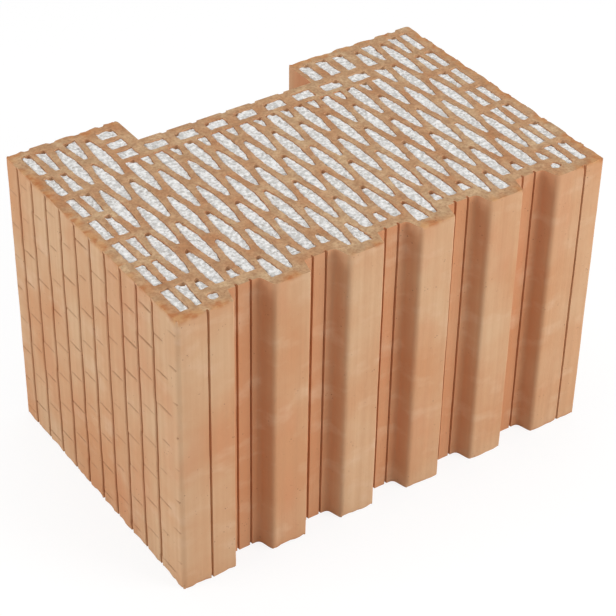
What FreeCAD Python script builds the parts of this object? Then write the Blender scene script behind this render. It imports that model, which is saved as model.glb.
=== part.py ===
import FreeCAD, Part
import math
import os
import Sketcher

# Hollow clay block with a jamb recess, its cells filled with insulation.
# Frame: +Z up, origin at the centre of the underside. X runs through the wall, Y along it.
# The two plaster faces look along X, the tongues along -Y and the recess along +Y.

# Driving sizes in millimetres
SIZES = {
    "wall_depth": 380.0,
    "block_length": 250.0,
    "block_height": 249.0,
    "corner_radius": 4.0,
    "tongue_radius": 1.5,
    # Walls between the cells and the outer faces
    "plaster_wall": 9.5,
    "front_wall": 10.0,
    "back_wall": 8.5,
    # Staggered field of lens-shaped cells
    "cell_web": 5.9,
    "lens_tip": 3.4,
    "tip_radius": 2.0,
    "tip_gap": 7.5,
    "field_margin": 7.75,
    "cell_round": 1.2,
    # Two columns of short cells along each plaster face
    "edge_cell_width": 7.2,
    "edge_web": 4.2,
    "split_web": 6.5,
    "split_wide": 8.4,
    "split_narrow": 4.8,
    # Recess for the jamb in the back face, and the cells around it
    "left_ear": 97.0,
    "recess_width": 160.0,
    "recess_depth": 34.0,
    "recess_wall": 7.5,
    "recess_side_wall": 9.5,
    "row_cell_depth": 10.6,
    "row_cell_width": 17.2,
    "row_web": 9.9,
    "row_to_field": 4.8,
    "ear_web": 5.0,
    "ear_side_web": 4.8,
    "ear_cell_width": 9.8,
    "ear_cell_gap": 6.6,
    "ear_cell_wall": 4.6,
    "ear_front_web": 8.0,
    # Tongues and grooves of the front face
    "groove_mouth": 33.5,
    "groove_floor": 26.0,
    "groove_depth": 14.0,
    "mark_offset": 5.8,
    "left_mark_inset": 25.5,
    "right_mark_inset": 19.5,
    "mark_width": 2.0,
    "mark_floor": 1.4,
    "mark_depth": 2.4,
    "pin_diameter": 8.0,
    "pin_inset": 13.5,
    # Scored lines of the plaster faces
    "score_pitch": 22.0,
    "score_inset": 19.7,
    "score_mouth": 3.8,
    "score_slot": 2.6,
    "score_lip": 0.7,
    "score_depth": 3.2,
    # Shallow keys of the back face and of the recess
    "key_pitch": 21.5,
    "key_inset": 17.5,
    "key_mouth": 7.5,
    "key_floor": 3.0,
    "key_depth": 2.3,
    "recess_key_mouth": 6.0,
    "recess_key_depth": 1.8,
    # Insulation stands this far below the ground faces
    "infill_recess": 0.8,
    # How far the cutting outlines run past an outer face
    "cut_past": 2.0,
}
HALF_COLUMNS = 12
GROOVE_STEP = 5
GROOVES = 5
ROWS = 7
SCORES = 10
ROW_CELLS = 8
EAR_CELLS = 3
EAR_KEYS = 4
RECESS_KEYS = 5
EVEN_COLUMNS = range(-HALF_COLUMNS, HALF_COLUMNS + 1, 2)
ODD_COLUMNS = range(1 - HALF_COLUMNS, HALF_COLUMNS, 2)
TONGUE_COLUMNS = (2, 3, 7, 8)
# Columns that end at the recess, and those that run on beside it into the ears
RECESS_EVEN = range(-8, 9, 2)
RECESS_ODD = range(-9, 10, 2)
EAR_EVEN = (-12, -10, 12)
EAR_ODD = (-11, 11)
LEFT_EAR_COLUMN = -10
SPLIT_COLUMN = 10
NEAR = 0.001


class Length:
    """A length in millimetres, with the spreadsheet expression that gives it."""

    def __init__(self, value, text):
        self.value = value
        self.text = text

    def join(self, sign, other, value):
        text = other.text if isinstance(other, Length) else repr(float(other))
        return Length(value, "(%s %s %s)" % (self.text, sign, text))

    def __add__(self, other):
        return self.join("+", other, self.value + number(other))

    def __sub__(self, other):
        return self.join("-", other, self.value - number(other))

    def __mul__(self, other):
        return self.join("*", other, self.value * number(other))

    def __truediv__(self, other):
        return self.join("/", other, self.value / number(other))

    def __neg__(self):
        return Length(-self.value, "(0 - %s)" % self.text)


def number(size):
    return size.value if isinstance(size, Length) else float(size)


def write_sheet(doc):
    """Put the driving sizes in a spreadsheet and return them by name."""
    sheet = doc.addObject("Spreadsheet::Sheet", "sizes")
    lengths = {}
    for row, (name, value) in enumerate(SIZES.items(), start=1):
        sheet.set("A%d" % row, name)
        sheet.set("B%d" % row, str(value))
        sheet.setAlias("B%d" % row, name)
        lengths[name] = Length(value, "sizes.%s" % name)
    return lengths


doc = FreeCAD.newDocument("clay_block")
size = write_sheet(doc)
doc.recompute()

# Lengths worked out from the driving sizes
half_depth = size["wall_depth"] / 2
half_length = size["block_length"] / 2
edge_x = half_depth - size["plaster_wall"] - size["edge_cell_width"] / 2
split_x = edge_x - size["edge_cell_width"] / 2 - size["edge_web"] - size["split_wide"] / 2
column_pitch = split_x / (HALF_COLUMNS + 1)
row_pitch = (size["block_length"] - size["field_margin"] * 2) / ROWS
lens_length = row_pitch * 2 - size["tip_gap"]
lens_width = (column_pitch - size["cell_web"]) * 2 - size["lens_tip"]
side_half = (lens_length - size["lens_tip"]) / 2
side_bow = (lens_width - size["lens_tip"]) / 2
side_radius = (side_half * side_half + side_bow * side_bow) / (side_bow * 2)
groove_pitch = column_pitch * GROOVE_STEP
first_groove = -groove_pitch * (GROOVES // 2)
groove_y = size["groove_depth"] - half_length
tongue_end = size["front_wall"] - half_length
groove_end = groove_y + size["front_wall"]
back_end = half_length - size["back_wall"]
recess_left = size["left_ear"] - half_depth
recess_right = recess_left + size["recess_width"]
recess_y = half_length - size["recess_depth"]
row_back = recess_y - size["recess_wall"]
row_front = row_back - size["row_cell_depth"]
field_end = row_front - size["row_to_field"]
row_step = size["row_cell_width"] + size["row_web"]


def arc_middle(start, end, radius):
    """Middle of the arc that bulges to the right of the way from start to end."""
    chord = end - start
    across = FreeCAD.Vector(chord.y, -chord.x, 0).normalize()
    half = chord.Length / 2
    rise = radius - math.sqrt(max(radius * radius - half * half, 0.0))
    return (start + end) / 2 + across * rise


def add_profile(sketch, corners):
    """Draw a closed outline, anticlockwise. A corner is x, y and the next side's radius, or None."""
    spots = [FreeCAD.Vector(x.value, y.value, 0) for x, y, radius in corners]
    count = len(corners)
    sides = []
    for index, (x, y, radius) in enumerate(corners):
        start = spots[index]
        end = spots[(index + 1) % count]
        if radius is None:
            sides.append(Part.LineSegment(start, end))
        else:
            sides.append(Part.Arc(start, arc_middle(start, end, radius.value), end))
    sketch.addGeometry(sides, False)
    rules = []
    for index, (x, y, radius) in enumerate(corners):
        rules.append((Sketcher.Constraint("Coincident", index, 2, (index + 1) % count, 1), None))
        rules.append((Sketcher.Constraint("DistanceX", -1, 1, index, 1, x.value), x))
        rules.append((Sketcher.Constraint("DistanceY", -1, 1, index, 1, y.value), y))
        if radius is not None:
            rules.append((Sketcher.Constraint("Radius", index, radius.value), radius))
    bind(sketch, rules)


def add_circle(sketch, circle):
    """Draw a circle given by the place of its centre and its radius."""
    x, y, radius = circle
    up = FreeCAD.Vector(0, 0, 1)
    sketch.addGeometry(Part.Circle(FreeCAD.Vector(x.value, y.value, 0), up, radius.value), False)
    rules = [
        (Sketcher.Constraint("DistanceX", -1, 1, 0, 3, x.value), x),
        (Sketcher.Constraint("DistanceY", -1, 1, 0, 3, y.value), y),
        (Sketcher.Constraint("Radius", 0, radius.value), radius),
    ]
    bind(sketch, rules)


def bind(sketch, rules):
    """Add constraints to a sketch and tie each measured one to its expression."""
    sketch.addConstraint([rule for rule, length in rules])
    for index, (rule, length) in enumerate(rules):
        if length is not None:
            name = "size_%d" % index
            sketch.renameConstraint(index, name)
            sketch.setExpression("Constraints." + name, length.text)


def origin_feature(body, role):
    return [feature for feature in body.Origin.OriginFeatures if feature.Role == role][0]


def body_sketch(body, name, profile):
    """Make a sketch on the body's floor plane with one closed outline."""
    sketch = body.newObject("Sketcher::SketchObject", name + "_sketch")
    sketch.AttachmentSupport = (origin_feature(body, "XY_Plane"), [""])
    sketch.MapMode = "FlatFace"
    add_profile(sketch, profile)
    return sketch


def pad(body, name, profile):
    feature = body.newObject("PartDesign::Pad", name)
    feature.Profile = body_sketch(body, name, profile)
    feature.setExpression("Length", size["block_height"].text)
    body.Tip = feature


def pocket(body, name, profile):
    """Cut one outline right through the body."""
    feature = body.newObject("PartDesign::Pocket", name)
    feature.Profile = body_sketch(body, name, profile)
    feature.Type = "ThroughAll"
    feature.Reversed = True
    body.Tip = feature
    return feature


def repeat_along_x(body, feature, step, count):
    doc.recompute()
    row = body.newObject("PartDesign::LinearPattern", feature.Name + "_row")
    row.Originals = [feature]
    row.Direction = (origin_feature(body, "X_Axis"), [""])
    row.Occurrences = count
    row.setExpression("Length", (step * (count - 1)).text)
    body.Tip = row


def prism(name, profile):
    """An upright prism on one outline, running past the top and the bottom of the block."""
    sketch = doc.addObject("Sketcher::SketchObject", name + "_sketch")
    if isinstance(profile, tuple):
        add_circle(sketch, profile)
    else:
        add_profile(sketch, profile)
    solid = doc.addObject("Part::Extrusion", name)
    solid.Base = sketch
    solid.DirMode = "Normal"
    solid.Solid = True
    solid.setExpression("LengthFwd", (size["block_height"] + size["cut_past"]).text)
    solid.setExpression("LengthRev", size["cut_past"].text)
    return solid


def gather(name, profiles):
    """All the prisms of a set of outlines, as one object."""
    group = doc.addObject("Part::Compound", name)
    group.Links = [prism("%s_%d" % (name, index), profile) for index, profile in enumerate(profiles)]
    return group


def polygon(*points):
    return [(x, y, None) for x, y in points]


def rounded_box(left, right, front, back):
    """Rectangular cell with rounded corners."""
    r = size["cell_round"]
    return [
        (left + r, front, None), (right - r, front, r),
        (right, front + r, None), (right, back - r, r),
        (right - r, back, None), (left + r, back, r),
        (left, back - r, None), (left, front + r, r),
    ]


def taper_cell(x, front, back, front_width, back_width):
    """Short cell that narrows towards one end."""
    r = size["cell_round"]
    wide = front_width / 2
    slim = back_width / 2
    return [
        (x - wide + r, front, None), (x + wide - r, front, r),
        (x + wide, front + r, None), (x + slim, back - r, r),
        (x + slim - r, back, None), (x - slim + r, back, r),
        (x - slim, back - r, None), (x - wide, front + r, r),
    ]


def half_width(offset):
    """Half the width of a lens at a distance from its middle."""
    return lens_width / 2 - offset * offset / (side_radius * 2)


def lens_end(x, middle, cut_at, side):
    """The corners of one end of a lens: its own round tip, or square where the field stops it."""
    if cut_at is None:
        tip = size["lens_tip"] / 2
        y = middle + side_half * side
        return [(x + tip * side, y, size["tip_radius"]), (x - tip * side, y, side_radius)]
    r = size["cell_round"]
    y = cut_at - r * side
    half = half_width(y - middle)
    return [
        (x + half * side, y, r), (x + (half - r) * side, cut_at, None),
        (x - (half - r) * side, cut_at, r), (x - half * side, y, side_radius),
    ]


def lens(column, middle, front=None, back=None):
    """A lens-shaped cell of a column, cut off square at the front or the back where these are given."""
    x = column_pitch * column
    return lens_end(x, middle, front, -1) + lens_end(x, middle, back, 1)


def edges_at(feature, places):
    """Names of a feature's upright edges that stand at the given places in plan."""
    names = []
    for index, edge in enumerate(feature.Shape.Edges, start=1):
        ends = [vertex.Point for vertex in edge.Vertexes]
        if len(ends) == 2 and abs(ends[0].z - ends[1].z) > NEAR:
            for x, y in places:
                if abs(ends[0].x - x.value) < NEAR and abs(ends[0].y - y.value) < NEAR:
                    names.append("Edge%d" % index)
    return names


def round_edges(body, name, places, radius):
    doc.recompute()
    base = body.Tip
    fillet = body.newObject("PartDesign::Fillet", name)
    fillet.Base = (base, edges_at(base, places))
    fillet.setExpression("Radius", radius.text)
    body.Tip = fillet


def score_line(side, y):
    """Outline of a scored line in a plaster face: a narrow slot with splayed lips, open past the face."""
    outside = (half_depth + size["cut_past"]) * side
    face = half_depth * side
    throat = (half_depth - size["score_lip"]) * side
    inside = (half_depth - size["score_depth"]) * side
    mouth = size["score_mouth"] / 2
    slot = size["score_slot"] / 2
    return polygon(
        (outside, y - mouth), (face, y - mouth), (throat, y - slot), (inside, y - slot),
        (inside, y + slot), (throat, y + slot), (face, y + mouth), (outside, y + mouth),
    )


def end_notch(x, face, side, mouth, floor, depth):
    """Outline of a groove in a front or back face, open past the face."""
    outside = face + size["cut_past"] * side
    inside = face - depth * side
    return polygon(
        (x - mouth / 2, outside), (x - mouth / 2, face), (x - floor / 2, inside),
        (x + floor / 2, inside), (x + mouth / 2, face), (x + mouth / 2, outside),
    )


def make_form():
    """The extruded outer form of the block, before its fine lines and its cells are cut."""
    body = doc.addObject("PartDesign::Body", "outer_form")
    corners = [(-half_depth, -half_length), (half_depth, -half_length),
               (half_depth, half_length), (-half_depth, half_length)]
    pad(body, "block", polygon(*corners))
    shape = (size["groove_mouth"], size["groove_floor"], size["groove_depth"])
    groove = pocket(body, "tongue_groove", end_notch(first_groove, -half_length, -1, *shape))
    repeat_along_x(body, groove, groove_pitch, GROOVES)
    past = half_length + size["cut_past"]
    pocket(body, "jamb_recess", polygon((recess_left, recess_y), (recess_right, recess_y),
                                        (recess_right, past), (recess_left, past)))
    ears = [(recess_left, half_length), (recess_right, half_length)]
    round_edges(body, "corner_rounding", corners + ears, size["corner_radius"])
    tongues = []
    for step in range(GROOVES):
        for side in (-1, 1):
            x = first_groove + groove_pitch * step + size["groove_mouth"] / 2 * side
            tongues.append((x, -half_length))
    round_edges(body, "tongue_rounding", tongues, size["tongue_radius"])
    return body


def score_lines():
    """Upright scored lines that hold the plaster on the two outer faces."""
    outlines = []
    for step in range(SCORES):
        outlines.append(score_line(-1, half_length - size["score_inset"] - size["score_pitch"] * step))
        outlines.append(score_line(1, size["score_pitch"] * (step - (SCORES - 1) / 2)))
    return outlines


def key_lines():
    """Shallow keys in the back of both ears and in the floor of the recess."""
    shape = (size["key_mouth"], size["key_floor"], size["key_depth"])
    outlines = []
    for step in range(EAR_KEYS):
        for side in (-1, 1):
            x = (half_depth - size["key_inset"] - size["key_pitch"] * step) * side
            outlines.append(end_notch(x, half_length, 1, *shape))
    shape = (size["recess_key_mouth"], size["key_floor"], size["recess_key_depth"])
    first = recess_left + size["row_cell_width"] + size["row_web"] / 2
    for step in range(RECESS_KEYS):
        outlines.append(end_notch(first + row_step * step, recess_y, 1, *shape))
    return outlines


def mark_lines():
    """Two fine lines along each groove floor and one along each corner tongue."""
    shape = (size["mark_width"], size["mark_floor"], size["mark_depth"])
    outlines = []
    for step in range(GROOVES):
        for side in (-1, 1):
            x = first_groove + groove_pitch * step + size["mark_offset"] * side
            outlines.append(end_notch(x, groove_y, -1, *shape))
    for x in (size["left_mark_inset"] - half_depth, half_depth - size["right_mark_inset"]):
        outlines.append(end_notch(x, -half_length, -1, *shape))
    return outlines


def line_y(line):
    """The place of a line of the field, half a row behind the row of the same number."""
    return row_pitch * (line + 0.5)


def lens_row(line, columns, front=None, back=None):
    """The like lenses that stand in some columns, with their middles on one line of the field."""
    return [lens(column, line_y(line), front, back) for column in columns]


def field_cells():
    """The staggered field of lenses, from the middle out to the recess and the ears."""
    outlines = lens_row(0, EVEN_COLUMNS) + lens_row(-2, EVEN_COLUMNS) + lens_row(-1, ODD_COLUMNS)
    outlines += lens_row(1, RECESS_ODD, back=field_end) + lens_row(2, RECESS_EVEN, back=field_end)
    outlines += lens_row(1, EAR_ODD) + lens_row(3, EAR_ODD, back=back_end) + lens_row(2, EAR_EVEN)
    split = line_y(2)
    web = size["split_web"] / 2
    outlines += lens_row(2, [SPLIT_COLUMN], back=split - web)
    return outlines + lens_row(2, [SPLIT_COLUMN], front=split + web)


def front_cells():
    """The ends of the field behind the grooves and inside the tongues."""
    outlines = []
    for column in ODD_COLUMNS:
        in_tongue = abs(column) in TONGUE_COLUMNS
        outlines += lens_row(-3, [column], front=None if in_tongue else groove_end)
    for column in EVEN_COLUMNS:
        in_tongue = abs(column) in TONGUE_COLUMNS
        outlines += lens_row(-4, [column], front=tongue_end if in_tongue else groove_end)
    return outlines


def edge_cells():
    """Two columns of short cells along each plaster face, their rows held by the same cross webs."""
    outlines = []
    half = size["edge_cell_width"] / 2
    last = ROWS // 2
    for side in (-1, 1):
        for row in range(-last, last + 1):
            front = tongue_end if row == -last else line_y(row - 1) + size["split_web"] / 2
            back = back_end if row == last else line_y(row) - size["split_web"] / 2
            outlines.append(rounded_box(edge_x * side - half, edge_x * side + half, front, back))
            widths = (size["split_narrow"], size["split_wide"])
            if row % 2 == 0:
                widths = (size["split_wide"], size["split_narrow"])
            outlines.append(taper_cell(split_x * side, front, back, *widths))
    return outlines


def recess_cells():
    """The row of wide cells in front of the recess."""
    outlines = []
    for step in range(ROW_CELLS):
        left = recess_left + row_step * step
        outlines.append(rounded_box(left, left + size["row_cell_width"], row_front, row_back))
    return outlines


def ear_cells():
    """Wide cells behind each other in the left ear, long ones side by side in the right ear."""
    outlines = []
    depth = (back_end - row_front - size["ear_web"] * (EAR_CELLS - 1)) / EAR_CELLS
    for step in range(EAR_CELLS):
        left = column_pitch * LEFT_EAR_COLUMN + lens_width / 2 + size["ear_side_web"]
        front = row_front + (depth + size["ear_web"]) * step
        outlines.append(rounded_box(left, recess_left - size["recess_side_wall"], front, front + depth))
        left = recess_right + size["ear_cell_wall"] + (size["ear_cell_width"] + size["ear_cell_gap"]) * step
        front = row_back + size["ear_front_web"]
        outlines.append(rounded_box(left, left + size["ear_cell_width"], front, back_end))
    return outlines


def round_cells():
    """A round cell in each corner tongue."""
    outlines = []
    for side in (-1, 1):
        x = column_pitch * (HALF_COLUMNS * side)
        outlines.append((x, size["pin_inset"] - half_length, size["pin_diameter"] / 2))
    return outlines


def cut_away(name, base, tool):
    result = doc.addObject("Part::Cut", name)
    result.Base = base
    result.Tool = tool
    return result


def make_infill(cells):
    """Insulation that fills every cell, a little below the two ground faces."""
    slab = doc.addObject("Part::Box", "infill_slab")
    slab.setExpression("Length", size["wall_depth"].text)
    slab.setExpression("Width", size["block_length"].text)
    slab.setExpression("Height", (size["block_height"] - size["infill_recess"] * 2).text)
    slab.setExpression("Placement.Base.x", (-half_depth).text)
    slab.setExpression("Placement.Base.y", (-half_length).text)
    slab.setExpression("Placement.Base.z", size["infill_recess"].text)
    infill = doc.addObject("Part::Common", "insulation_infill")
    infill.Base = cells
    infill.Tool = slab
    return infill


def check(pieces):
    """Stop if any object failed or any piece has no sound solid."""
    for thing in doc.Objects:
        if "Invalid" in thing.State or "Error" in thing.State:
            raise RuntimeError("%s failed: %s" % (thing.Name, thing.State))
    for piece in pieces:
        if piece.Shape.isNull() or not piece.Shape.isValid() or not piece.Shape.Solids:
            raise RuntimeError("%s has no sound solid" % piece.Label)


def write(pieces):
    os.makedirs("parts", exist_ok=True)
    for piece in pieces:
        piece.Shape.exportStep("parts/%s.step" % piece.Label)
        print(piece.Label, len(piece.Shape.Solids), "solids", round(piece.Shape.Volume), "mm3")


outer_form = make_form()
lines = gather("line", score_lines() + key_lines() + mark_lines())
inner_cells = field_cells() + front_cells() + edge_cells()
outer_cells = recess_cells() + ear_cells() + round_cells()
cells = gather("cell", inner_cells + outer_cells)
scored_form = cut_away("scored_form", outer_form, lines)
clay_block = cut_away("clay_block", scored_form, cells)
insulation_infill = make_infill(cells)
doc.recompute()
check([clay_block, insulation_infill])
write([clay_block, insulation_infill])
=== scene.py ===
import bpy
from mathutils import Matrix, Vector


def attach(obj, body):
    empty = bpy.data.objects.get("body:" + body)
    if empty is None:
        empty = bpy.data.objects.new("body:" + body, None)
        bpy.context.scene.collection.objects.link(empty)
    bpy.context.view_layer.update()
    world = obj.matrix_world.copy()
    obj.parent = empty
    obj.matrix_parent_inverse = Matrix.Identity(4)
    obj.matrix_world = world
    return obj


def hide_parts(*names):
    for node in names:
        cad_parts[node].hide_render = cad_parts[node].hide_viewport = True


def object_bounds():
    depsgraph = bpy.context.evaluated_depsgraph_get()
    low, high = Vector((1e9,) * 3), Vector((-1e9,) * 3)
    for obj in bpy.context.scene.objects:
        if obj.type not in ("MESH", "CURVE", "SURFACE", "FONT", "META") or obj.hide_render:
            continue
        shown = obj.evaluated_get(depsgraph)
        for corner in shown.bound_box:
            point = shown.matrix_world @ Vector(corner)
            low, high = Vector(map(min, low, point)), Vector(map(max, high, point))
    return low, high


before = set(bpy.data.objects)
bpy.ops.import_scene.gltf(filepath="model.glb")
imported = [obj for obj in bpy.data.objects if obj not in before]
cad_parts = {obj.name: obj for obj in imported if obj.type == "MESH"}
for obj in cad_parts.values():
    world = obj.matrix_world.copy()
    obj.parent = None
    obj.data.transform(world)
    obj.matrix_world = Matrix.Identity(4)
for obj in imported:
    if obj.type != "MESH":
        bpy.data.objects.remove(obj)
packed_box = [list(corner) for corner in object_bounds()]

import math
import random

import bmesh
import bpy
from mathutils import Quaternion, Vector, noise
from mathutils.geometry import delaunay_2d_cdt

# Fired clay block with insulation in its cells. Metres, +Z up, tongues along -Y.

MM = 0.001
SEED = 11

# Sizes of the block that the fine shape follows
HALF_X, HALF_Y, HEIGHT = packed_box[1]
SCORE_INSET = 19.7 * MM
SCORE_PITCH = 22 * MM
SCORE_DEPTH = 3.2 * MM
GROOVE_DEPTH = 14 * MM

# Packed points this close are one, and heights this close are level
WELD = 0.005 * MM
LEVEL = 0.01 * MM

# Triangles fill the inside of the outlines, and points nearer than this, in metres, are one
FILL_INSIDE = 1
FILL_WELD = 1e-9

# Net of points on the outer faces, and its waves, each with a pitch and a share
COLUMN_STEP = 5 * MM
ROW_GAP = 0.5 * MM
OUTER_SKIN = 0.6 * MM
FACE_WAVE = 0.28 * MM
FACE_WAVES = ((45 * MM, 1.0), (13 * MM, 0.5))
WAVE_TOP = 0.1 * MM

# Short ticks pressed across the strips of the plaster faces
TICK_FIRST = 12.5 * MM
TICK_PITCH = 15.1 * MM
TICK_DEPTH = 1.0 * MM
TICK_HALF = 1.2 * MM
TICK_ROWS = (-0.65 * TICK_PITCH, -0.36 * TICK_PITCH, -TICK_HALF, 0.0, TICK_HALF)
TICK_LATEST_START = 0.3
TICK_SOONEST_END = 0.6
TICK_LEAST = 0.45

# Kinks of the scored lines, and the smeared clay at their upper ends
LINE_WANDER = 0.9 * MM
WANDER_SHARE = 0.5
WANDER_PITCH = 16 * MM
WANDER_SPREAD = 7.3
SMEAR_FULL = 1.5 * MM
SMEAR_REACH = 7 * MM
SMEAR_MEAN = 0.7
SMEAR_SPREAD = 3.7
SMEAR_SHARE = 0.85

# Crumbled upper and lower rims, and the chipped corner
RIM_STEPS = (0.0, 1.0 * MM, 2.8 * MM, 6.0 * MM)
RIM_SHARES = (1.0, 0.5, 0.16, 0.0)
RIM_INSET = 1.8 * MM
RIM_MEAN = 0.5
RIM_LEAST = 0.1
RIM_WAVES = ((11 * MM, 1.0), (4 * MM, 0.6))
INNER_RIM = 0.15 * MM
CORNER_CHIP = 2.6 * MM
CORNER_REACH = 9 * MM

# Worn left flanks of the tongues
FLANK_REACH = 3.6 * MM
FLANK_PARTS = 6

# Ragged rims of the cells
RIM_STEP = 2 * MM
RIM_BAND = 3.5 * MM
RIM_RAGGED = 0.8 * MM
RAGGED_MEAN = 0.4
RAGGED_MOST = 1.3
RAGGED_WAVES = ((2.6 * MM, 1.3), (9 * MM, 0.6))

# Beads of the insulation
GRAIN_STEP = 0.9 * MM
GRAIN_MARGIN = 0.4 * GRAIN_STEP
BEAD_PITCH = 2.7 * MM
BEAD_ROW = 0.866
BEAD_SCATTER = 0.6
BEAD_REACH = 0.55
BEAD_REACH_SPREAD = 0.25
BEAD_LOW = 0.7
BEAD_LOW_SPREAD = 0.5
BEAD_PEAK = 1.15
BEAD_RISE = 0.6 * MM

# Upper face of the insulation, with sunken edges and some empty tips
FILL_TOP = 0.1 * MM
FILL_GAP = 0.08 * MM
FILL_WAVE = 0.4 * MM
FILL_WAVE_PITCH = 14 * MM
EDGE_SINK = 0.9 * MM
EDGE_MEAN = 0.55
EDGE_VARIES = 1.3
EDGE_PITCH = 3.4 * MM
TIP_SINK = 8 * MM
TIP_REACH = 3.2 * MM
TIP_SHARE = 0.5

# Places of the colour sockets in a mix node
MIX_A = 6
MIX_B = 7
MIX_RESULT = 2

# Edges sharper than these, in degrees, stay sharp
CLAY_SHARP = 32
FILL_SHARP = 60

# Colours of the drawn faces, from 0 to 255
PALE_CLAY = (213, 175, 138)
WARM_CLAY = (205, 150, 109)
# Painted shade and reddish bounce light deep in the grooves and the recess
GROOVE_SHADE_CLAY = (200, 128, 84)
BLUSH_CLAY = (208, 138, 100)
SCUFFED_CLAY = (228, 198, 168)
STREAKED_CLAY = (192, 142, 105)

# Colours of the ground end faces
GROUND_PALE = (208, 176, 138)
GROUND_WARM = (191, 139, 98)
GROUND_MOTTLE = (158, 121, 87)
GROUND_GRAIN = (148, 100, 69)

# Colours of broken rims and specks, and of the shade painted into the ticks
BROKEN_PALE = (202, 150, 100)
BROKEN_RED = (178, 106, 56)
SPECK_BROWN = (112, 66, 42)
TICK_SHADE_BROWN = (120, 76, 50)

# Colours of the insulation
BEAD_WHITE = (243, 242, 240)
BEAD_GREY = (201, 198, 194)
BEAD_SHADE = (150, 138, 126)

# Finish
CLAY_ROUGHNESS = 0.85
CLAY_RELIEF = 0.6 * MM
CLAY_BUMP = 0.4
FILL_ROUGHNESS = 0.75
FILL_RELIEF = 0.5 * MM
FILL_BUMP = 0.5
DULL_SHINE = 0.2

# Stage
FLOOR_REACH = 6.0
FLOOR_GREY = 0.85
FLOOR_ROUGHNESS = 0.9
FLOOR_GLOW = 0.78
FLOOR_WHITE = 1.08
WORLD_LIGHT = 0.33
LAMPS = {
    "left_light": dict(place=(-1.9, 0.45, 0.75), aim=(-0.1, 0.0, 0.15), width=1.2, height=1.2, power=17),
    "right_light": dict(place=(1.3, -1.8, 1.0), aim=(0.0, 0.0, 0.12), width=1.4, height=1.2, power=33),
    "top_light": dict(place=(0.1, 0.3, 2.2), aim=(0.0, 0.0, 0.2), width=1.5, height=1.5, power=17),
}

# Camera: place and target, roll in degrees, lens and sensor in millimetres
CAMERA_PLACE = Vector((-0.7131, -1.0261, 1.0353))
CAMERA_TARGET = Vector((-0.0062, 0.0215, 0.1245))
CAMERA_ROLL = -0.56
CAMERA_LENS = 113.8
CAMERA_SENSOR = 36
CAMERA_SHIFT = (0.043, -0.046)
CAMERA_END = 50


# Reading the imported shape

def top_loops(mesh):
    """The closed outlines of a mesh's upper face, as lists of points in plan."""
    top = max(v.co.z for v in mesh.vertices)
    places = {}
    sides = {}
    for face in mesh.polygons:
        corners = [mesh.vertices[i].co for i in face.vertices]
        if all(abs(corner.z - top) < LEVEL for corner in corners):
            keys = [(round(corner.x / WELD), round(corner.y / WELD)) for corner in corners]
            places.update(zip(keys, [corner.xy.copy() for corner in corners]))
            sides.update(dict.fromkeys(zip(keys, keys[1:] + keys[:1])))
    follow = {a: b for a, b in sides if (b, a) not in sides}
    loops = []
    while follow:
        start, spot = follow.popitem()
        loop = [start]
        while spot != start:
            loop.append(spot)
            spot = follow.pop(spot)
        loops.append([places[key] for key in loop])
    return loops


def area(loop):
    """Area inside an outline, positive where it runs anticlockwise."""
    return sum(a.x * b.y - b.x * a.y for a, b in zip(loop, loop[1:] + loop[:1])) / 2


def densify(loop, step):
    """Add points along the sides of an outline so that none is longer than step."""
    points = []
    for a, b in zip(loop, loop[1:] + loop[:1]):
        parts = max(1, math.ceil((b - a).length / step))
        points += [a.lerp(b, part / parts) for part in range(parts)]
    return points


def outward(loop):
    """Unit directions away from the inside of an anticlockwise outline, one at each point."""
    result = []
    for before, here, after in zip(loop[-1:] + loop[:-1], loop, loop[1:] + loop[:1]):
        way = (here - before).normalized() + (after - here).normalized()
        result.append(Vector((way.y, -way.x)).normalized())
    return result


def triangulate(points, edges):
    """Triangles inside closed outlines: points, faces, and the given points that each point stands for."""
    found = delaunay_2d_cdt(points, edges, [], FILL_INSIDE, FILL_WELD)
    return found[0], found[2], found[3]


# Fine shape of the clay

def ripple(x, y, z, pitch):
    """Smooth noise from about -1 to 1."""
    return noise.noise(Vector((x / pitch + SEED, y / pitch, z / pitch)))


def ripples(x, y, z, waves):
    """Sum of ripples of several pitches and shares."""
    return sum(share * ripple(x, y, z, pitch) for pitch, share in waves)


def rounded(before, corner, after):
    """Points of a soft curve that takes the place of a corner."""
    start = corner + (before - corner).normalized() * FLANK_REACH
    end = corner + (after - corner).normalized() * FLANK_REACH
    shares = [part / FLANK_PARTS for part in range(FLANK_PARTS + 1)]
    return [start.lerp(corner, s).lerp(corner.lerp(end, s), s) for s in shares]


def left_flank(here, after):
    """Whether a side of the outline is the flank of a tongue that faces left."""
    in_grooves = after.y < GROOVE_DEPTH / 2 - HALF_Y and abs(here.x) < HALF_X - GROOVE_DEPTH
    return in_grooves and here.y - after.y > GROOVE_DEPTH / 2


def soften(loop):
    """The outline with the foot and the edge of each tongue's left flank rounded by wear."""
    first = loop.index(max(loop, key=lambda p: p.y))
    loop = loop[first:] + loop[:first]
    points = []
    on_edge = False
    for before, here, after in zip(loop[-1:] + loop[:-1], loop, loop[1:] + loop[:1]):
        if left_flank(here, after):
            edge = here + (after - here) * ((here.y + HALF_Y) / (here.y - after.y))
            points += rounded(before, here, edge) + rounded(here, edge, edge + Vector((1, 0)))
            on_edge = True
        elif on_edge:
            on_edge = here.y > LEVEL - HALF_Y
        else:
            points.append(here)
    return points


def wall_levels():
    """Heights of the rows of points on the outer faces, close together at the rims and the ticks."""
    heights = list(RIM_STEPS) + [HEIGHT - step for step in RIM_STEPS]
    depth = TICK_FIRST
    while depth < HEIGHT - TICK_FIRST / 2:
        heights += [HEIGHT - depth + row for row in TICK_ROWS]
        depth += TICK_PITCH
    kept = []
    for height in sorted(h for h in heights if 0 <= h <= HEIGHT):
        if not kept or height - kept[-1] > ROW_GAP:
            kept.append(height)
    return kept


def on_skin(point):
    """Whether a point of the outline lies on one of the four outermost faces."""
    return abs(point.x) > HALF_X - OUTER_SKIN or abs(point.y) > HALF_Y - OUTER_SKIN


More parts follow.
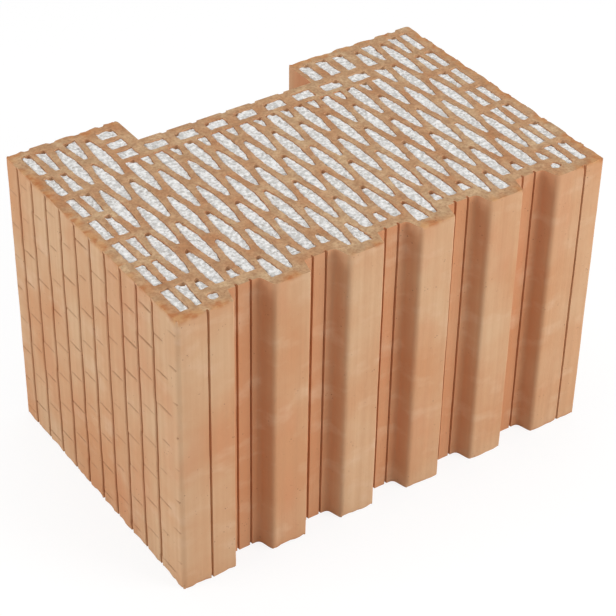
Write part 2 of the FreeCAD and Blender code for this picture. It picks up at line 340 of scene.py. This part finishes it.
def tick_depth(point, height):
    """Depth of the short pressed ticks across the strips of the plaster faces."""
    if abs(point.x) < HALF_X - OUTER_SKIN:
        return 0.0
    across = (HALF_Y - SCORE_INSET - point.y) / SCORE_PITCH
    strip = math.floor(across)
    number = round((HEIGHT - height - TICK_FIRST) / TICK_PITCH)
    if (number + strip) % 2:
        return 0.0
    luck = noise.cell_vector(Vector((strip + 0.5, number + 0.5, SEED)))
    start = TICK_LATEST_START * luck.x
    end = TICK_SOONEST_END + (1 - TICK_SOONEST_END) * luck.y
    if not start < across - strip < end:
        return 0.0
    off = abs(HEIGHT - height - TICK_FIRST - number * TICK_PITCH)
    share = TICK_LEAST + (1 - TICK_LEAST) * luck.z
    return TICK_DEPTH * share * max(0.0, 1 - off / TICK_HALF)


def rim_inset(point, height):
    """How far the crumbled upper and lower rims stand back from the face."""
    below = min(HEIGHT - height, height)
    share = 0.0
    for start, end, a, b in zip(RIM_STEPS, RIM_STEPS[1:], RIM_SHARES, RIM_SHARES[1:]):
        if start <= below <= end:
            share = a + (b - a) * (below - start) / (end - start)
    if not on_skin(point):
        return INNER_RIM * share
    size = RIM_INSET * max(RIM_LEAST, RIM_MEAN + ripples(point.x, point.y, height, RIM_WAVES))
    if height > HEIGHT / 2:
        near = (point - Vector((-HALF_X, -HALF_Y))).length
        size += CORNER_CHIP * math.exp(-(near / CORNER_REACH) ** 2)
    return size * share


def scored_line(point):
    """Number of the scored line that a point is nearest to, or None off the plaster faces."""
    if abs(point.x) < HALF_X - SCORE_DEPTH - OUTER_SKIN or abs(point.y) > HALF_Y - SCORE_INSET / 2:
        return None
    return round((HALF_Y - SCORE_INSET - point.y) / SCORE_PITCH)


def smear(point, height):
    """How far smeared clay fills the upper end of a scored line."""
    line = scored_line(point)
    if line is None:
        return 0.0
    reach = SMEAR_REACH * (SMEAR_MEAN + ripple(line * SMEAR_SPREAD, point.x, 0, 1))
    share = min(1.0, max(0.0, 1 - (HEIGHT - height - SMEAR_FULL) / reach))
    return math.copysign(SMEAR_SHARE * share * (HALF_X - abs(point.x)), point.x)


def line_shift(point, height):
    """Sideways kinks of the scored lines, which step a little at every other row of ticks."""
    line = scored_line(point)
    if line is None:
        return 0.0
    part = math.floor((HEIGHT - height - TICK_FIRST) / TICK_PITCH / 2 + 0.5 * (line % 2))
    luck = noise.cell_vector(Vector((line + 0.5, part + 0.5, SEED + 2)))
    bend = ripple(line * WANDER_SPREAD, height, point.x, WANDER_PITCH)
    return LINE_WANDER * (luck.x - 0.5 + WANDER_SHARE * bend)


def painted_shade_share(point):
    """How deep a point of the outline stands inside a groove or the recess, from 0 to 1; it sets how much
    shade is painted there.
    """
    deep = min(HALF_X - abs(point.x), HALF_Y - abs(point.y))
    return min(1.0, max(0.0, deep / GROOVE_DEPTH))


def wall_point(point, way, height):
    """A point of an outer face with its waves, ticks, wandering lines and crumbled rims."""
    wave = FACE_WAVE * ripples(point.x, point.y, height, FACE_WAVES)
    back = rim_inset(point, height) + tick_depth(point, height)
    moved = point + way * (min(wave, WAVE_TOP) - back)
    return Vector((moved.x + smear(point, height), moved.y + line_shift(point, height), height))


def join_rows(bm, rows, outside):
    """Faces between closed rows of points, each above the last, that look outward or inward."""
    for low, high in zip(rows, rows[1:]):
        for index in range(len(low)):
            after = (index + 1) % len(low)
            ring = (low[index], low[after], high[after], high[index])
            bm.faces.new(ring if outside else ring[::-1])


def add_walls(bm, loop):
    """The outer faces, as a net that follows the outline. Returns its lowest and highest rows."""
    ways = outward(loop)
    layers = bm.verts.layers.float
    rows = []
    for height in wall_levels():
        rows.append([bm.verts.new(wall_point(point, way, height)) for point, way in zip(loop, ways)])
        for vert, point in zip(rows[-1], loop):
            # Painted shade deep in the grooves and the recess, growing with depth
            vert[layers["groove_shade"]] = painted_shade_share(point)
            # Painted shade in the pressed ticks, growing with their depth
            vert[layers["tick_shade"]] = tick_depth(point, height) / TICK_DEPTH
            vert[layers["crumbled"]] = min(1.0, rim_inset(point, height) / RIM_INSET)
    join_rows(bm, rows, True)
    return rows[0], rows[-1]


def ragged(point, way, height):
    """A point of a cell's rim, broken back a little into the clay."""
    amount = RAGGED_MEAN + ripples(point.x, point.y, height, RAGGED_WAVES)
    moved = point + way * (RIM_RAGGED * min(max(amount, 0.0), RAGGED_MOST))
    return Vector((moved.x, moved.y, height))


def add_cell(bm, loop):
    """The inner face of a cell with ragged rims. Returns its lowest and highest rows."""
    ways = outward(loop)
    rows = [[bm.verts.new(ragged(point, way, 0.0)) for point, way in zip(loop, ways)]]
    for height in (RIM_BAND, HEIGHT - RIM_BAND):
        rows.append([bm.verts.new((point.x, point.y, height)) for point in loop])
    rows.append([bm.verts.new(ragged(point, way, HEIGHT)) for point, way in zip(loop, ways)])
    join_rows(bm, rows, False)
    return rows[0], rows[-1]


def add_cap(bm, rows, up):
    """A ground end face between the outer outline, given first, and the cells."""
    verts = [vert for row in rows for vert in row]
    owner = [number for number, row in enumerate(rows) for vert in row]
    edges = []
    start = 0
    for row in rows:
        edges += [(start + i, start + (i + 1) % len(row)) for i in range(len(row))]
        start += len(row)
    places, faces, sources = triangulate([vert.co.xy for vert in verts], edges)
    origin = [ids[0] if ids else None for ids in sources]
    for face in faces:
        ids = [origin[i] for i in face]
        if None in ids or len(set(ids)) < 3:
            continue
        in_one_cell = owner[ids[0]] and len({owner[i] for i in ids}) == 1
        if not in_one_cell:
            ring = [verts[i] for i in ids]
            bm.faces.new(ring if up else ring[::-1])


def finish_mesh(bm, name, sharp):
    """Turn a built mesh into an object with soft shading and sharp edges above an angle."""
    mesh = bpy.data.meshes.new(name)
    bm.to_mesh(mesh)
    bm.free()
    mesh.shade_smooth()
    mesh.set_sharp_from_angle(angle=math.radians(sharp))
    piece = bpy.data.objects.new(name, mesh)
    bpy.context.scene.collection.objects.link(piece)
    return piece


def make_clay(outline, cells):
    """The clay body: outer faces, cells and two ground end faces."""
    bm = bmesh.new()
    # Stored per point: painted shade in the grooves, painted shade in the ticks, and the crumbled rims
    for name in ("groove_shade", "tick_shade", "crumbled"):
        bm.verts.layers.float.new(name)
    ends = [add_walls(bm, outline)] + [add_cell(bm, cell) for cell in cells]
    add_cap(bm, [high for low, high in ends], True)
    add_cap(bm, [low for low, high in ends], False)
    return finish_mesh(bm, "clay", CLAY_SHARP)


# Fine shape of the insulation

def bead_height(x, y):
    """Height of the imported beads, as round tops on an uneven close net."""
    best = 0.0
    row = round(y / (BEAD_PITCH * BEAD_ROW))
    for j in (row - 1, row, row + 1):
        column = round(x / BEAD_PITCH - 0.5 * (j % 2))
        for i in (column - 1, column, column + 1):
            luck = noise.cell_vector(Vector((i + 0.5, j + 0.5, SEED)))
            middle_x = (i + 0.5 * (j % 2) + BEAD_SCATTER * (luck.x - 0.5)) * BEAD_PITCH
            middle_y = (j * BEAD_ROW + BEAD_SCATTER * (luck.y - 0.5)) * BEAD_PITCH
            reach = BEAD_PITCH * (BEAD_REACH + BEAD_REACH_SPREAD * luck.z)
            near = 1 - ((x - middle_x) ** 2 + (y - middle_y) ** 2) / reach ** 2
            if near > 0:
                best = max(best, math.sqrt(near) * (BEAD_LOW + BEAD_LOW_SPREAD * luck.z))
    return best


def inside(loop, x, y, margin):
    """Whether a point lies inside a convex outline, at least margin from its sides."""
    for a, b in zip(loop, loop[1:] + loop[:1]):
        side = b - a
        if side.x * (y - a.y) - side.y * (x - a.x) < margin * side.length:
            return False
    return True


def grain_points(loop):
    """Points of a fine net inside an outline."""
    low = Vector((min(p.x for p in loop), min(p.y for p in loop)))
    high = Vector((max(p.x for p in loop), max(p.y for p in loop)))
    points = []
    row = math.ceil(low.y / GRAIN_STEP)
    while row * GRAIN_STEP < high.y:
        x = (math.ceil(low.x / GRAIN_STEP) + 0.5 * (row % 2)) * GRAIN_STEP
        while x < high.x:
            if inside(loop, x, row * GRAIN_STEP, GRAIN_MARGIN):
                points.append(Vector((x, row * GRAIN_STEP)))
            x += GRAIN_STEP
        row += 1
    return points


def fill_depth(x, y, edge, tip):
    """How far below the ground face the insulation stands."""
    depth = FILL_TOP + BEAD_RISE * (BEAD_PEAK - bead_height(x, y))
    depth += FILL_WAVE * (1 + ripple(x, y, 0, FILL_WAVE_PITCH))
    if edge:
        depth += EDGE_SINK * max(0.0, EDGE_MEAN + EDGE_VARIES * ripple(x, y, 0, EDGE_PITCH))
    if tip is not None:
        depth += TIP_SINK * max(0.0, 1 - (Vector((x, y)) - tip).length / TIP_REACH)
    return depth


def add_fill(bm, cell, chance):
    """The insulation of one cell: a grainy top, plain sides and a plain underside."""
    loop = [point - way * FILL_GAP for point, way in zip(cell, outward(cell))]
    tip = max(loop, key=lambda p: p.y) if chance < TIP_SHARE else None
    edges = [(i, (i + 1) % len(loop)) for i in range(len(loop))]
    places, faces, sources = triangulate(loop + grain_points(loop), edges)
    verts = []
    rim = {}
    for place, ids in zip(places, sources):
        on_edge = bool(ids) and min(ids) < len(loop)
        depth = fill_depth(place.x, place.y, on_edge, tip)
        verts.append(bm.verts.new((place.x, place.y, HEIGHT - depth)))
        if on_edge:
            rim[min(ids)] = verts[-1]
    for face in faces:
        bm.faces.new([verts[i] for i in face])
    foot = [bm.verts.new((point.x, point.y, FILL_TOP + BEAD_RISE)) for point in loop]
    join_rows(bm, [foot, [rim[i] for i in range(len(loop))]], True)
    bm.faces.new(foot[::-1])


def make_fill(cells):
    """The insulation of all cells. Some of them have an empty tip."""
    bm = bmesh.new()
    chances = random.Random(SEED)
    for cell in cells:
        add_fill(bm, cell, chances.random())
    return finish_mesh(bm, "insulation", FILL_SHARP)


# Materials

def linear(colour):
    """A screen colour from 0 to 255 as a linear colour."""
    shares = [value / 255 for value in colour]
    return [s / 12.92 if s <= 0.04045 else ((s + 0.055) / 1.055) ** 2.4 for s in shares] + [1.0]


class Painter:
    """Short calls for building a material's nodes."""

    def __init__(self, name):
        self.material = bpy.data.materials.new(name)
        self.material.use_nodes = True
        self.nodes = self.material.node_tree.nodes
        self.links = self.material.node_tree.links
        self.shader = self.nodes["Principled BSDF"]
        self.place = self.nodes.new("ShaderNodeTexCoord").outputs["Object"]

    def set(self, socket, value):
        """Link a socket to a node's output, or give it a value."""
        if isinstance(value, bpy.types.NodeSocket):
            self.links.new(value, socket)
        else:
            socket.default_value = value

    def stretch(self, x, y, z):
        """The place on the object, scaled along each axis."""
        node = self.nodes.new("ShaderNodeMapping")
        self.set(node.inputs["Vector"], self.place)
        node.inputs["Scale"].default_value = (x, y, z)
        return node.outputs["Vector"]

    def noise(self, scale, detail, vector=None):
        node = self.nodes.new("ShaderNodeTexNoise")
        self.set(node.inputs["Vector"], vector or self.place)
        node.inputs["Scale"].default_value = scale
        node.inputs["Detail"].default_value = detail
        return node.outputs["Fac"]

    def spots(self, scale):
        """Distance to the middle of the nearest of many spots."""
        node = self.nodes.new("ShaderNodeTexVoronoi")
        self.set(node.inputs["Vector"], self.place)
        node.inputs["Scale"].default_value = scale
        return node.outputs["Distance"]

    def ramp(self, value, low, high, bottom=0.0, top=1.0):
        """A value that goes from bottom to top as the given one goes from low to high."""
        node = self.nodes.new("ShaderNodeMapRange")
        self.set(node.inputs["Value"], value)
        for name, number in zip(("From Min", "From Max", "To Min", "To Max"), (low, high, bottom, top)):
            node.inputs[name].default_value = number
        return node.outputs["Result"]

    def patches(self, scale, detail, low, high, vector=None):
        """Noise as soft patches, from 0 to 1."""
        return self.ramp(self.noise(scale, detail, vector), low, high)

    def combine(self, kind, a, b):
        node = self.nodes.new("ShaderNodeMath")
        node.operation = kind
        self.set(node.inputs[0], a)
        self.set(node.inputs[1], b)
        return node.outputs[0]

    def times(self, a, b):
        return self.combine("MULTIPLY", a, b)

    def mix(self, share, a, b):
        """Colour a where share is 0, and b where it is 1."""
        node = self.nodes.new("ShaderNodeMix")
        node.data_type = "RGBA"
        self.set(node.inputs[0], share)
        self.set(node.inputs[MIX_A], a)
        self.set(node.inputs[MIX_B], b)
        return node.outputs[MIX_RESULT]

    def attribute(self, name):
        """A value stored on the points of the mesh."""
        node = self.nodes.new("ShaderNodeAttribute")
        node.attribute_name = name
        return node.outputs["Fac"]

    def levelness(self):
        """How level the surface is: 1 on the end faces and 0 on upright ones."""
        node = self.nodes.new("ShaderNodeSeparateXYZ")
        self.set(node.inputs[0], self.nodes.new("ShaderNodeNewGeometry").outputs["Normal"])
        return self.combine("ABSOLUTE", node.outputs["Z"], 0.0)

    def bump(self, height, strength, distance):
        node = self.nodes.new("ShaderNodeBump")
        self.set(node.inputs["Height"], height)
        node.inputs["Strength"].default_value = strength
        node.inputs["Distance"].default_value = distance
        return node.outputs["Normal"]

    def done(self, colour, rough, normal):
        self.set(self.shader.inputs["Base Color"], colour)
        self.set(self.shader.inputs["Roughness"], rough)
        self.set(self.shader.inputs["Normal"], normal)
        self.shader.inputs["Specular IOR Level"].default_value = DULL_SHINE
        return self.material


def side_colour(p):
    """Pale fired clay of the drawn faces, with soft patches, painted shade and reddish bounce light deep
    in the grooves and the recess, upright streaks and slanting scuffs.
    """
    warm = p.patches(scale=13, detail=4, low=0.36, high=0.66)
    colour = p.mix(warm, linear(PALE_CLAY), linear(WARM_CLAY))
    # Painted shade and reddish bounce light, stronger deeper in the grooves and the recess
    colour = p.mix(p.times(p.attribute("groove_shade"), 0.5), colour, linear(GROOVE_SHADE_CLAY))
    blush = p.patches(scale=24, detail=3, low=0.55, high=0.72, vector=p.stretch(1, 1, 0.5))
    colour = p.mix(p.times(blush, 0.35), colour, linear(BLUSH_CLAY))
    scuff = p.patches(scale=1, detail=5, low=0.54, high=0.74, vector=p.stretch(34, 34, 60))
    colour = p.mix(p.times(scuff, 0.36), colour, linear(SCUFFED_CLAY))
    streak = p.patches(scale=1, detail=4, low=0.35, high=0.7, vector=p.stretch(210, 210, 5))
    return p.mix(p.times(streak, 0.35), colour, linear(STREAKED_CLAY))


def ground_colour(p):
    """Ground end faces: more orange, mottled and grainy."""
    warm = p.patches(scale=42, detail=5, low=0.36, high=0.66)
    colour = p.mix(warm, linear(GROUND_PALE), linear(GROUND_WARM))
    mottle = p.patches(scale=150, detail=4, low=0.4, high=0.68)
    colour = p.mix(p.times(mottle, 0.55), colour, linear(GROUND_MOTTLE))
    grain = p.patches(scale=520, detail=3, low=0.4, high=0.68)
    return p.mix(p.times(grain, 0.5), colour, linear(GROUND_GRAIN))


def broken_colour(p):
    """Crumbled rims: pale orange to red."""
    red = p.patches(scale=160, detail=3, low=0.4, high=0.62)
    return p.mix(red, linear(BROKEN_PALE), linear(BROKEN_RED))


def specks(p):
    """Small dark specks in loose groups."""
    spots = p.ramp(p.spots(scale=330), low=0.1, high=0.22, bottom=1.0, top=0.0)
    return p.times(spots, p.patches(scale=90, detail=2, low=0.58, high=0.68))


def clay_material():
    """Fired clay, with painted shade in the pressed ticks, crumbled orange rims and specks."""
    p = Painter("fired_clay")
    ground = p.ramp(p.levelness(), low=0.5, high=0.85)
    colour = p.mix(ground, side_colour(p), ground_colour(p))
    crumbled = p.ramp(p.attribute("crumbled"), low=0.1, high=0.55)
    colour = p.mix(p.times(crumbled, 0.7), colour, broken_colour(p))
    colour = p.mix(p.times(specks(p), 0.6), colour, linear(SPECK_BROWN))
    # Painted shade in the pressed ticks
    colour = p.mix(p.times(p.attribute("tick_shade"), 0.55), colour, linear(TICK_SHADE_BROWN))
    drawn = p.times(p.noise(scale=1, detail=3, vector=p.stretch(300, 300, 12)), 0.8)
    relief = p.combine("ADD", p.noise(scale=260, detail=4), drawn)
    return p.done(colour, CLAY_ROUGHNESS, p.bump(relief, CLAY_BUMP, CLAY_RELIEF))


def fill_material():
    """White insulation beads with grey shade between them."""
    p = Painter("insulation")
    grey = p.patches(scale=380, detail=3, low=0.38, high=0.62)
    colour = p.mix(grey, linear(BEAD_WHITE), linear(BEAD_GREY))
    shade = p.patches(scale=300, detail=4, low=0.6, high=0.7)
    colour = p.mix(p.times(shade, 0.6), colour, linear(BEAD_SHADE))
    relief = p.noise(scale=700, detail=3)
    return p.done(colour, FILL_ROUGHNESS, p.bump(relief, FILL_BUMP, FILL_RELIEF))


def seen_directly(nodes, links):
    """1 for rays from the camera, and for those that it sees in a mirror or through glass."""
    path = nodes.new("ShaderNodeLightPath")
    total = path.outputs["Is Camera Ray"]
    for name in ("Is Glossy Ray", "Is Transmission Ray"):
        node = nodes.new("ShaderNodeMath")
        node.operation = "MAXIMUM"
        links.new(total, node.inputs[0])
        links.new(path.outputs[name], node.inputs[1])
        total = node.outputs[0]
    return total


def floor_material():
    """White floor that keeps a faint shadow."""
    material = bpy.data.materials.new("floor")
    material.use_nodes = True
    nodes = material.node_tree.nodes
    links = material.node_tree.links
    shader = nodes["Principled BSDF"]
    shader.inputs["Base Color"].default_value = (FLOOR_GREY, FLOOR_GREY, FLOOR_GREY, 1)
    shader.inputs["Roughness"].default_value = FLOOR_ROUGHNESS
    shader.inputs["Specular IOR Level"].default_value = 0.0
    glow = nodes.new("ShaderNodeEmission")
    glow.inputs["Strength"].default_value = FLOOR_WHITE
    share = nodes.new("ShaderNodeMath")
    share.operation = "MULTIPLY"
    links.new(seen_directly(nodes, links), share.inputs[0])
    share.inputs[1].default_value = FLOOR_GLOW
    blend = nodes.new("ShaderNodeMixShader")
    links.new(share.outputs[0], blend.inputs["Fac"])
    links.new(shader.outputs["BSDF"], blend.inputs[1])
    links.new(glow.outputs["Emission"], blend.inputs[2])
    links.new(blend.outputs["Shader"], nodes["Material Output"].inputs["Surface"])
    return material


# Stage

def make_floor():
    """A wide level floor under the block."""
    mesh = bpy.data.meshes.new("floor")
    signs = ((-1, -1), (1, -1), (1, 1), (-1, 1))
    mesh.from_pydata([(x * FLOOR_REACH, y * FLOOR_REACH, 0) for x, y in signs], [], [(0, 1, 2, 3)])
    mesh.materials.append(floor_material())
    floor = bpy.data.objects.new("floor", mesh)
    bpy.context.scene.collection.objects.link(floor)


def make_world():
    """Even light from all around, seen as white by the camera."""
    world = bpy.data.worlds.new("studio")
    bpy.context.scene.world = world
    world.use_nodes = True
    nodes = world.node_tree.nodes
    links = world.node_tree.links
    level = nodes.new("ShaderNodeMapRange")
    links.new(seen_directly(nodes, links), level.inputs["Value"])
    level.inputs["To Min"].default_value = WORLD_LIGHT
    level.inputs["To Max"].default_value = 1.0
    links.new(level.outputs["Result"], nodes["Background"].inputs["Strength"])
    nodes["Background"].inputs["Color"].default_value = (1, 1, 1, 1)


def make_light(name, place, aim, width, height, power):
    """A soft rectangular lamp that looks at a point."""
    lamp = bpy.data.lights.new(name, "AREA")
    lamp.shape = "RECTANGLE"
    lamp.size = width
    lamp.size_y = height
    lamp.energy = power
    light = bpy.data.objects.new(name, lamp)
    bpy.context.scene.collection.objects.link(light)
    light.location = place
    light.rotation_euler = (Vector(aim) - Vector(place)).to_track_quat("-Z", "Y").to_euler()


def make_camera():
    """The camera at the photograph's viewing angle."""
    lens = bpy.data.cameras.new("camera")
    lens.sensor_width = CAMERA_SENSOR
    lens.lens = CAMERA_LENS
    lens.shift_x, lens.shift_y = CAMERA_SHIFT
    lens.clip_end = CAMERA_END
    camera = bpy.data.objects.new("camera", lens)
    bpy.context.scene.collection.objects.link(camera)
    look = (CAMERA_TARGET - CAMERA_PLACE).to_track_quat("-Z", "Y")
    camera.rotation_mode = "QUATERNION"
    camera.rotation_quaternion = look @ Quaternion((0, 0, 1), math.radians(-CAMERA_ROLL))
    camera.location = CAMERA_PLACE
    bpy.context.scene.camera = camera


# Putting the scene together

packed_loops = top_loops(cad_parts["clay_block"].data)
loops = [loop if area(loop) > 0 else loop[::-1] for loop in packed_loops]
loops.sort(key=area, reverse=True)
outline = densify(soften(loops[0]), COLUMN_STEP)
cells = [densify(loop, RIM_STEP) for loop in loops[1:]]

clay = make_clay(outline, cells)
clay.data.materials.append(clay_material())
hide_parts("clay_block")
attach(clay, "root")

fill = make_fill(cells)
fill.data.materials.append(fill_material())
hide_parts("insulation_infill")
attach(fill, "root")

make_floor()
make_world()
for name, lamp in LAMPS.items():
    make_light(name, **lamp)
make_camera()
bpy.context.scene.view_settings.view_transform = "Standard"
